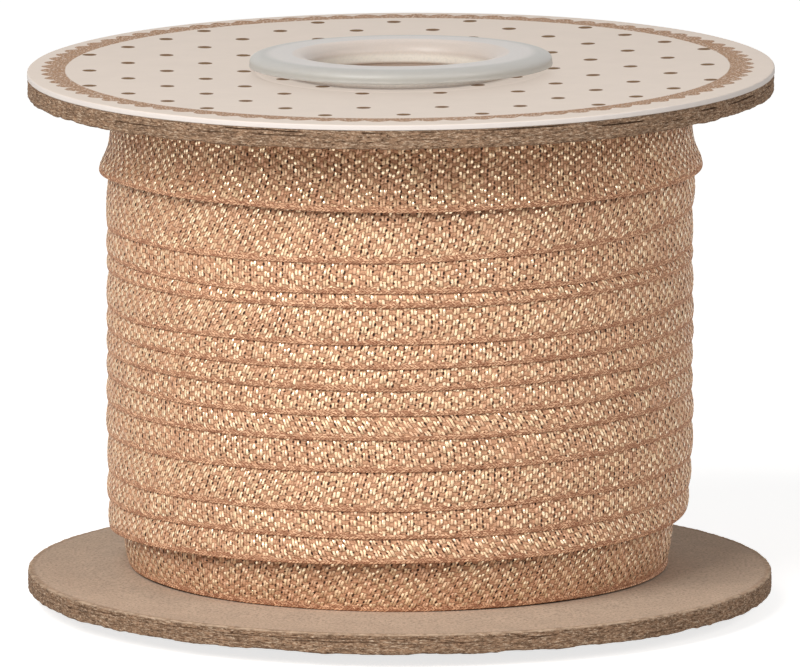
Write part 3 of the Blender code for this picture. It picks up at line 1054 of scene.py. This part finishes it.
def label(looks, board, material):
    """The paper label: a thin turned sheet on the dished disc, whose cut edge hangs over the disc's corner.

    The hub has left its imprint on it, a ring off the middle: depth x exp(-((r - radius) / width)^2). The
    sheet is a little wavy, and its cut edge rougher.
    """
    inner, outer, low, high = node_ring("top_label")
    thick = high - low
    under = [outer, outer - 0.2 * MM, looks.imprint, inner]
    outer = outer + looks.overhang
    ring, round_over, deep = looks.imprint, looks.edge_round, thick + looks.lip
    inside = np.linspace(inner, ring - 1.1 * MM, 3)
    near_ring = np.linspace(ring - 1.0 * MM, ring + 1.0 * MM, 33)
    outside = np.linspace(ring + 1.6 * MM, outer - round_over - 0.4 * MM, 26)
    out = np.concatenate([inside, near_ring, outside])
    sine, cosine = arc(0, 90, 8)
    side = np.linspace(round_over, deep, 6)[1:]
    radius = joined(out, outer - round_over * (1 - sine), np.full(len(side), outer), under)
    drop = joined(np.zeros(len(out)), round_over * (1 - cosine), side, [deep], np.full(len(under) - 1, thick))
    angles = all_round(looks.steps)
    on_top = np.maximum(1 - drop / thick, 0)
    bare = smooth(drop / round_over * 1.5 - 0.1)
    waves, tufts = 40, 260  # round the sheet, and round its edge
    wave = 0.015 * MM * value_noise(angles / TURN * waves, radius / MM / 9, 8, waves) * on_top
    rough = 0.02 * MM * fractal(angles / TURN * tufts, 0.0, 12, tufts) * smooth(drop / round_over)
    points = turned(radius + rough, high - drop + wave, angles)
    from_ring = np.hypot(points[..., 0] - looks.imprint_x, points[..., 1] - looks.imprint_y) - ring
    points[..., 2] -= looks.imprint_depth * np.exp(-((from_ring / looks.imprint_width) ** 2)) * on_top
    lifted(points, board, outer)
    reach = 0.5 / outer * 0.992

    def place(row, column):
        """The top lies flat over the whole map, and the underside small in one of its corners."""
        line = row % len(radius)
        theta = column / looks.steps * TURN
        below = ((line.max(1) >= len(radius) - len(under)) | (row.max(1) >= len(radius)))[:, None]
        middle, part = np.where(below, 0.065, 0.5), np.where(below, 0.12, 1.0)
        from_middle = radius[line, 0] * reach * part
        return middle + from_middle * np.sin(theta), middle - from_middle * np.cos(theta)

    maps, values = {BAKE_MAP: place}, {"bare": bare}
    piece = surface("top_label_paper", points, material, maps=maps, values=values)
    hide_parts("top_label")


TUBE_WALL = 1.5 * MM
FLANGE_CLEAR = 0.2 * MM  # how far a flange's foot stays clear of what is under it


def hub_half(node, looks, board, material, upper):
    """Half of the hub: a turned flange and tube, with a rolled shoulder, a rounded mouth and a grooved bore.

    The section is worked out with depth measured from the flange's outer face, and the lower half is
    mirrored. The flange stands a little clear of what is under it. The upper half's flange stands up by the
    lift, and leans with the disc and up to the front by the nod.
    """
    inner, outer, low, high = node_ring(node)
    length = high - low
    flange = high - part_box("top_label")[1].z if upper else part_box("bottom_disc")[0].z - low
    bore, tube = inner, inner + TUBE_WALL
    foot = flange - FLANGE_CLEAR
    end = length - 0.3 * MM
    sine, cosine = arc(0, 90, 10)
    across, down = looks.shoulder, looks.shoulder_depth
    groove, mouth = looks.groove_place, looks.lip_depth
    deepening = np.array([0.05, 0.9, 1, 1])
    sections = [  # radius and depth, from the flange's flat top inwards
        (looks.land + np.array([1.2, 0.5, 0.2, 0.06]) * MM, np.zeros(4)),
        (looks.land - (looks.land - bore) * sine, mouth * (1 - cosine)),
        (np.full(3, bore), [mouth + 0.1 * MM, groove - 0.15 * MM, groove - 0.03 * MM]),
        (bore + looks.groove * deepening, groove + np.array([0, 0.06, 0.2, 1.2]) * MM),
        ([bore + 0.03 * MM, bore, bore], [groove + 1.4 * MM, length * 0.6, end]),
        ([bore + 0.2 * MM, tube - 0.2 * MM, tube], [length, length, end]),
        ([tube, tube], [length * 0.6, foot + 0.3 * MM]),
        ([tube + 0.2 * MM, outer - 0.6 * MM, outer - 0.12 * MM], [foot, foot, foot]),
        (outer - np.array([0.02, 0.0, 0.02, 0.05]) * MM, foot - np.array([0.03, 0.1, 0.2, 0.3]) * MM),
        (np.full(2, outer - 0.05 * MM), [foot - 0.45 * MM, down + 0.1 * MM]),
        (outer - 0.07 * MM - across * (1 - cosine), down - down * sine),
    ]
    radius, depth = (joined(*parts) for parts in zip(*sections))
    points = turned(radius, high - depth if upper else low + depth, all_round(looks.steps))
    if upper:
        near_flange = smooth((flange * 4 - depth) / flange / 3)
        leaning = board.tilt * points[..., 0] - looks.nod * points[..., 1]
        points[..., 2] += near_flange * (looks.lift + leaning)
    piece = surface(node + "_plastic", points, material)
    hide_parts(node)


# ----------------------------------------------------------------------------------------------------
# Ribbon

RIBBON_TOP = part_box("ribbon_outer_layer")[1].z
RIBBON_WIDTH = 7.0 * MM
INNER_RADIUS = 25.2  # of the inner layers, in millimetres
ENDLESS = 1000.0  # a width in millimetres that no edge comes near

# Heights of the ribbon's lower edge at the front, one for each turn from the bottom, in millimetres
EDGE_HEIGHTS = (3.8, 8.53, 10.95, 13.58, 17.21, 20.14, 22.47, 24.89, 26.91, 29.13, 32.67, 33.88, 36.91, 41.76)
LAST_TURN = len(EDGE_HEIGHTS) - 1
TAIL_TURN = LAST_TURN + 165 / 360  # where the ribbon ends, at the back
CUTS = (-1.0, 0.5, 2.5, 4.5, 6.5, 8.5, 10.5, 11.5, 12.5, TAIL_TURN)  # the pieces' ends, all at the back
MOST_LAPS = 6  # turns that may lie over one point
LAP_START = 0.06  # the part of a turn over which the ribbon's end comes to lie on the turns below
BOTTOM_END, TOP_START = 0.35, TAIL_TURN - 1.16  # turns where the recess begins to fade, and the flare begins
TOUCH = 0.05 * MM  # two edges nearer than this lie on each other
TOP_LEAN = 0.5 * MM  # how far the top turn's upper edge leans in
LOPSIDED, LOPSIDED_HEIGHT = 0.35 * MM, 17 * MM  # how far in the winding lies at the right, below that height


def edge_height(turn, looks):
    """Height of the ribbon's lower edge after so many turns.

    A Hermite curve through one height a turn, whose slope at each is half the rise from the turn before to
    the turn after, level outside its ends. Value noise makes it wander a little.
    """
    heights = np.array(EDGE_HEIGHTS)
    slopes = np.gradient(heights)
    slopes[[0, -1]] = 0
    where = np.clip(turn, 0, LAST_TURN - 1e-9)
    i = np.floor(where).astype(int)
    t = where - i
    curve = (
        (1 + 2 * t) * (1 - t) ** 2 * heights[i]
        + t * (1 - t) ** 2 * slopes[i]
        + t * t * (3 - 2 * t) * heights[i + 1]
        + t * t * (t - 1) * slopes[i + 1]
    )
    wander = looks.wander * fractal(turn * 11 + 40, 0.0, 11, octaves=2)
    return curve * MM + wander * smooth(turn * 2 + 1)


def winding_radius(turn, height, looks):
    """Outer radius of the ribbon's own surface at a turn and height.

    From the winding's radius it takes off, for each later turn that laps over this one, the thickness and
    the gap times the share of the way from that turn's neighbour below up to it, so that a turn leans in
    under the next. The shown part swells by bulge x 4s(1 - s), where s is the share of the way up it. The
    bottom turn is recessed, and the top turn's lower edge flares out by flare x exp(-(h / 1.6 mm)^2), while
    its upper edge leans in. Low down at the right, the winding lies a little further in.
    """
    angle = turn * TURN
    own = below = edge_height(turn, looks)
    depth = 0.0
    for later in range(1, MOST_LAPS + 1):
        above = edge_height(turn + later, looks)
        there = smooth((TAIL_TURN - turn - later) / LAP_START)
        way_up = np.clip((height - below + TOUCH) / np.maximum(above - below, TOUCH), 0, 1)
        depth = depth + (looks.thickness + looks.gap) * there * way_up
        if later == 1:
            shown = np.clip((height - own) / np.maximum(above - own, TOUCH), 0, 1)
            swell = looks.bulge * 4 * shown * (1 - shown) * there
        below = above
    up = (height - own) / MM
    bottom = 1 - smooth((turn - BOTTOM_END) / 0.5)
    top = smooth((turn - TOP_START) / 0.45)
    recess = bottom * (looks.recess + looks.recess_more * np.clip(1 - up / 4.7, 0, 1))
    flare = top * (looks.flare * np.exp(-((up / 1.6) ** 2)) - TOP_LEAN * np.clip(up / 6.4, 0, 1) ** 2)
    low_down = np.clip((LOPSIDED_HEIGHT - height) / (8 * MM), 0, 1)
    lopsided = LOPSIDED * low_down * np.clip(np.sin(angle), 0, 1)
    uneven = looks.uneven * value_noise(angle / TURN * 9, height / MM / 4.5, 3, 9)
    return looks.radius - depth + swell - recess + flare - lopsided + uneven


def weave_relief(along, across, width, looks):
    """Height of the woven surface, from a place in metres along and across the ribbon.

    A column's strands rise and fall as the square root of |cos(pi t)|, with its sign, times cos(0.9 pi a)
    across the column, and the warp between them lies lower. In the selvage it is nearly flat.
    """
    column = along / looks.column
    i = np.floor(column)
    fa = column - i - 0.5
    crossing = (across / looks.crossing + i) / 2
    wave = np.cos(np.pi * (2 * (crossing - np.floor(crossing)) - 1))
    strand = np.sign(wave) * np.sqrt(np.abs(wave)) * np.cos(0.9 * np.pi * fa)
    field = np.maximum(strand, -0.35)
    stitches = 0.3 * np.cos(TURN * along / (0.36 * MM)) * np.cos(TURN * across / (0.54 * MM))
    edge = np.minimum(across, width - across)
    selvage = 1 - smooth((edge / looks.selvage - 0.85) / 0.3)
    return looks.relief * (field * (1 - selvage) + stitches * selvage)


def ribbon_piece(index, start, end, looks, material):
    """One length of the ribbon: its section, with rounded edges, carried along the helix.

    The outer face has rows fine enough for the weave as far up as it shows, and a few rows beyond. The
    weave leans and strays by noise, but not at the edges. Near the top the ribbon is squeezed to end at the
    winding's top.
    """
    width = RIBBON_WIDTH
    steps_a_turn = looks.columns * looks.column_steps
    turns = start + np.arange(round((end - start) * steps_a_turn) + 1) / steps_a_turn
    turns = np.minimum(turns, TAIL_TURN)[None, :]
    low = edge_height(turns, looks)
    shown = np.where(turns + 1 < TAIL_TURN + 0.02, edge_height(turns + 1, looks) - low, width)
    half = looks.thickness / 2
    step = looks.crossing / looks.row_steps
    fine_top = min(shown.max() + 0.35 * MM, width - half)
    fine = np.arange(half + step, fine_top, step)
    rest = np.linspace(fine[-1], width - half, 5)[1:] if fine[-1] < width - half - step else [width - half]
    low_s, low_c = arc(0, 180, 5)
    high_s, high_c = arc(180, 0, 4)
    face = np.zeros(len(fine) + len(rest))
    across = joined(half - half * low_s, fine, rest, width - half + half * high_s[1:], [width * 0.5])
    inward = joined(half + half * low_c, face, half + half * high_c[1:], [2 * half])
    woven = joined(low_s * 0.8, np.ones(len(fine)), np.zeros(len(rest) + 4))
    height = low + across * np.minimum(1, (RIBBON_TOP - low) / width)
    lean = looks.skew * fractal(turns * 4 + 9, 0.0, 17, octaves=2)
    along = (turns - CUTS[0]) * looks.columns * looks.column + lean * across
    x, y = along / MM, across / MM
    along = along + looks.stray * fractal(x / 2.1, y / 1.7, 61, octaves=2)
    inside = smooth(np.minimum(across, width - across) / MM / 0.8 - 0.4)
    across_weave = across + looks.stray * fractal(x / 1.3, y / 2.4, 62, octaves=2) * inside
    relief = weave_relief(along, across_weave, width, looks) * woven
    points = turned(winding_radius(turns, height, looks) - inward + relief, height, turns * TURN)
    rows, fine_rows = len(across), len(low_s) + len(fine)
    folds = max(1, round(np.sqrt((end - start) * TURN * looks.radius / (fine_top * 1.25))))
    strip = folded_strip(turns.shape[1] - 1, folds)

    def weave_place(row, column):
        """Millimetres along and across the weave."""
        return along[row % rows, column] / MM, across_weave[row % rows, column] / MM

    def bake_place(row, column):
        """A folded strip, most of it for the fine rows."""
        first = np.minimum(column[:, :1], column[:, 1:2])
        beyond = 0.85 + 0.15 * (row - fine_rows) / (rows - fine_rows)
        return strip(column, first, np.where(row < fine_rows, row / fine_rows * 0.85, beyond))

    maps = {WEAVE_MAP: weave_place, BAKE_MAP: bake_place}
    name = f"ribbon_length_{index:02d}"
    piece = surface(name, points, material, wrap_columns=False, maps=maps)
    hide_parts("ribbon_outer_layer")


def tape_piece(looks, ribbon, material):
    """The tape: a thin curved sheet that lies on the ribbon's end, a little outside its surface.

    Past the ribbon's end it comes down to the turn below.
    """
    low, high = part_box("end_tape")
    x, y, _ = node_points("end_tape")
    reach = np.unwrap(np.sort(np.mod(np.arctan2(x, -y), TURN)))
    angles = np.linspace(reach.min(), reach.max(), looks.steps + 1)[None, :]
    film, clear = 0.08 * MM, 0.09 * MM
    up = np.linspace(low.z + 1.2 * MM, high.z - 0.6 * MM, 18)
    height = joined(up, up[::-1])
    outside = joined(np.full(len(up), film), np.zeros(len(up)))
    turn = LAST_TURN + angles / TURN
    on_ribbon = np.minimum(turn, TAIL_TURN - 0.002)
    over = winding_radius(on_ribbon, np.maximum(height, edge_height(on_ribbon, ribbon)), ribbon)
    past = smooth((turn - TAIL_TURN) / 0.02)
    under = winding_radius(turn - 1, height, ribbon) + ribbon.thickness * 0.4
    radius = over * (1 - past) + np.minimum(over, under) * past + clear + outside
    points = turned(radius, height, angles)
    piece = surface("end_tape_film", points, material, wrap_columns=False)
    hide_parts("end_tape")


# ----------------------------------------------------------------------------------------------------
# Operators


class SPOOL_OT_boards(Operator):
    """Makes both greyboard discs"""

    bl_idname = "spool.boards"
    bl_label = "Boards"

    def execute(self, context):
        looks = context.scene.spool_looks.board
        material = board_material(looks)
        disc("top_disc", looks, material, 100, upper=True)
        disc("bottom_disc", looks, material, 200, upper=False)
        return {"FINISHED"}


class SPOOL_OT_label(Operator):
    """Makes the printed label on the upper disc"""

    bl_idname = "spool.label"
    bl_label = "Label"

    def execute(self, context):
        looks = context.scene.spool_looks
        label(looks.label, looks.board, label_material(looks.label))
        return {"FINISHED"}


class SPOOL_OT_hub(Operator):
    """Makes both halves of the plastic hub"""

    bl_idname = "spool.hub"
    bl_label = "Hub"

    def execute(self, context):
        looks = context.scene.spool_looks
        material = hub_material(looks.hub, CAD_BOUNDS[1][2])
        hub_half("hub_top", looks.hub, looks.board, material, upper=True)
        hub_half("hub_bottom", looks.hub, looks.board, material, upper=False)
        return {"FINISHED"}


class SPOOL_OT_core(Operator):
    """Finishes the core tube and the ribbon's inner layers, which keep the frame's own shapes"""

    bl_idname = "spool.core"
    bl_label = "Core and inner layers"

    def execute(self, context):
        looks = context.scene.spool_looks
        inner = ribbon_material("ribbon_inside", looks.ribbon, ENDLESS, from_map=False)
        for node, material in (("core_tube", core_material(looks.board)), ("ribbon_inner_layers", inner)):
            piece = frame["nodes"][node]
            if not piece.data.materials:
                piece.data.materials.append(material)
            for slot in piece.material_slots:
                slot.material = material
        return {"FINISHED"}


class SPOOL_OT_ribbon(Operator):
    """Winds the ribbon's outer layer, one length after another"""

    bl_idname = "spool.ribbon"
    bl_label = "Ribbon"

    def execute(self, context):
        looks = context.scene.spool_looks.ribbon
        material = ribbon_material("woven_ribbon", looks, RIBBON_WIDTH / MM, from_map=True)
        for index, (start, end) in enumerate(zip(CUTS, CUTS[1:]), 1):
            ribbon_piece(index, start, end, looks, material)
        return {"FINISHED"}


class SPOOL_OT_tape(Operator):
    """Lays the clear tape over the ribbon's end"""

    bl_idname = "spool.tape"
    bl_label = "End tape"

    def execute(self, context):
        looks = context.scene.spool_looks
        tape_piece(looks.tape, looks.ribbon, tape_material(looks.tape))
        return {"FINISHED"}


# Each lamp's azimuth right of the front and its elevation, in degrees, its distance and width, in metres, and
# its tint
LAMPS = {
    "key": (-34, 38, 0.6, 0.36, (1.0, 0.985, 0.965)),
    "fill": (50, 30, 0.7, 0.24, (1.0, 0.99, 0.98)),
}
FLOOR_REACH = 3.0  # half the floor's side, in metres


def lamp(name, watts):
    """A square soft lamp that looks at the spool's middle."""
    azimuth, elevation, distance, width, tint = LAMPS[name]
    data = bpy.data.lights.new(name, "AREA")
    data.shape, data.size, data.energy, data.color = "SQUARE", width, watts, tint
    azimuth, elevation = np.radians((azimuth, elevation))
    level = distance * np.cos(elevation)
    middle = Vector((0, 0, CAD_BOUNDS[1][2] / 2))
    place = middle + Vector((level * np.sin(azimuth), -level * np.cos(azimuth), distance * np.sin(elevation)))
    light = bpy.data.objects.new(name, data)
    facing = (middle - place).to_track_quat("-Z", "Y").to_matrix().to_4x4()
    light.matrix_world = Matrix.Translation(place) @ facing
    bpy.context.scene.collection.objects.link(light)


class SPOOL_OT_stage(Operator):
    """Makes the pale floor, the surround, the lamps and the camera"""

    bl_idname = "spool.stage"
    bl_label = "Stage"

    def execute(self, context):
        looks = context.scene.spool_looks.stage
        self.floor(looks)
        self.surround(context, looks)
        lamp("key", looks.key)
        lamp("fill", looks.fill)
        self.camera(context, looks)
        return {"FINISHED"}

    def floor(self, looks):
        """A pale floor under the spool, which looks white where no shadow falls."""
        corners = [(x * FLOOR_REACH, y * FLOOR_REACH, 0) for x, y in ((-1, -1), (1, -1), (1, 1), (-1, 1))]
        mesh = bpy.data.meshes.new("floor")
        mesh.from_pydata(corners, [], [(0, 1, 2, 3)])
        material, nodes = new_material("floor")
        grain = nodes.noise(nodes.object_place(), 60.0)
        nodes.finish(
            Base_Color=nodes.mix(grain * 0.04, looks.floor, (0.6, 0.6, 0.6)),
            Roughness=0.9,
            Specular_IOR_Level=0.0,
            Emission_Color=(1.0, 1.0, 1.0),
            Emission_Strength=nodes.seen() * 0.75,
        )
        mesh.materials.append(material)
        floor = bpy.data.objects.new("floor", mesh)
        bpy.context.scene.collection.objects.link(floor)
        floor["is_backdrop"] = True

    def surround(self, context, looks):
        """An even surround: plain white to the camera, in gloss and through glass, and dimmer as light."""
        world = bpy.data.worlds.new("surround")
        world.use_nodes = True
        world.node_tree.nodes.clear()
        nodes = Nodes(world.node_tree)
        strength = nodes.seen() * (1.0 - looks.surround) + looks.surround
        light = nodes.add("ShaderNodeBackground", {"Color": (1.0, 1.0, 1.0), "Strength": strength})
        nodes.node("ShaderNodeOutputWorld", {"Surface": light})
        context.scene.world = world

    def camera(self, context, looks):
        """A long lens in front of the spool, looking down on it a little."""
        data = bpy.data.cameras.new("camera")
        data.lens, data.sensor_width, data.clip_start, data.clip_end = looks.lens, 36.0, 0.05, 20.0
        camera = bpy.data.objects.new("camera", data)
        down, distance = looks.camera_height, looks.camera_distance
        place = Matrix.Translation((looks.aim_x, -distance * cos(down), looks.aim_z + distance * sin(down)))
        roll = Matrix.Rotation(looks.camera_roll, 4, "Z")
        camera.matrix_world = place @ Matrix.Rotation(np.pi / 2 - down, 4, "X") @ roll
        context.scene.collection.objects.link(camera)
        context.scene.camera = camera
        context.scene.view_settings.view_transform = "Standard"


SPOOL_PIECES = (SPOOL_OT_boards, SPOOL_OT_label, SPOOL_OT_hub, SPOOL_OT_core, SPOOL_OT_ribbon, SPOOL_OT_tape)
OPERATORS = (*SPOOL_PIECES, SPOOL_OT_stage)


class SPOOL_PT_panel(Panel):
    """Lists the spool's pieces and their settings in the sidebar"""

    bl_idname = "SPOOL_PT_panel"
    bl_label = "Ribbon Spool"
    bl_space_type = "VIEW_3D"
    bl_region_type = "UI"
    bl_category = "Spool"

    def draw(self, context):
        for operator in OPERATORS:
            self.layout.operator(operator.bl_idname)
        for name in SpoolLooks.__annotations__:
            box = self.layout.box()
            box.label(text=name.capitalize())
            settings = getattr(context.scene.spool_looks, name)
            for key in type(settings).__annotations__:
                box.prop(settings, key)


LOOKS = (BoardLooks, LabelLooks, HubLooks, RibbonLooks, TapeLooks, StageLooks, SpoolLooks)
CLASSES = (*LOOKS, *OPERATORS, SPOOL_PT_panel)


def register():
    """Makes the classes and the scene's settings known to Blender."""
    for item in CLASSES:
        bpy.utils.register_class(item)
    bpy.types.Scene.spool_looks = PointerProperty(type=SpoolLooks)


def unregister():
    """Takes them away again."""
    del bpy.types.Scene.spool_looks
    for item in reversed(CLASSES):
        bpy.utils.unregister_class(item)


def main():
    """Builds the whole spool and its stage."""
    register()
    bpy.ops.spool.boards()
    bpy.ops.spool.label()
    bpy.ops.spool.hub()
    bpy.ops.spool.core()
    bpy.ops.spool.ribbon()
    bpy.ops.spool.tape()
    bpy.ops.spool.stage()
    boxes = {"cad": [list(corner) for corner in CAD_BOUNDS], "visual": [list(corner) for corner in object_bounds()]}


if __name__ == "__main__":
    main()
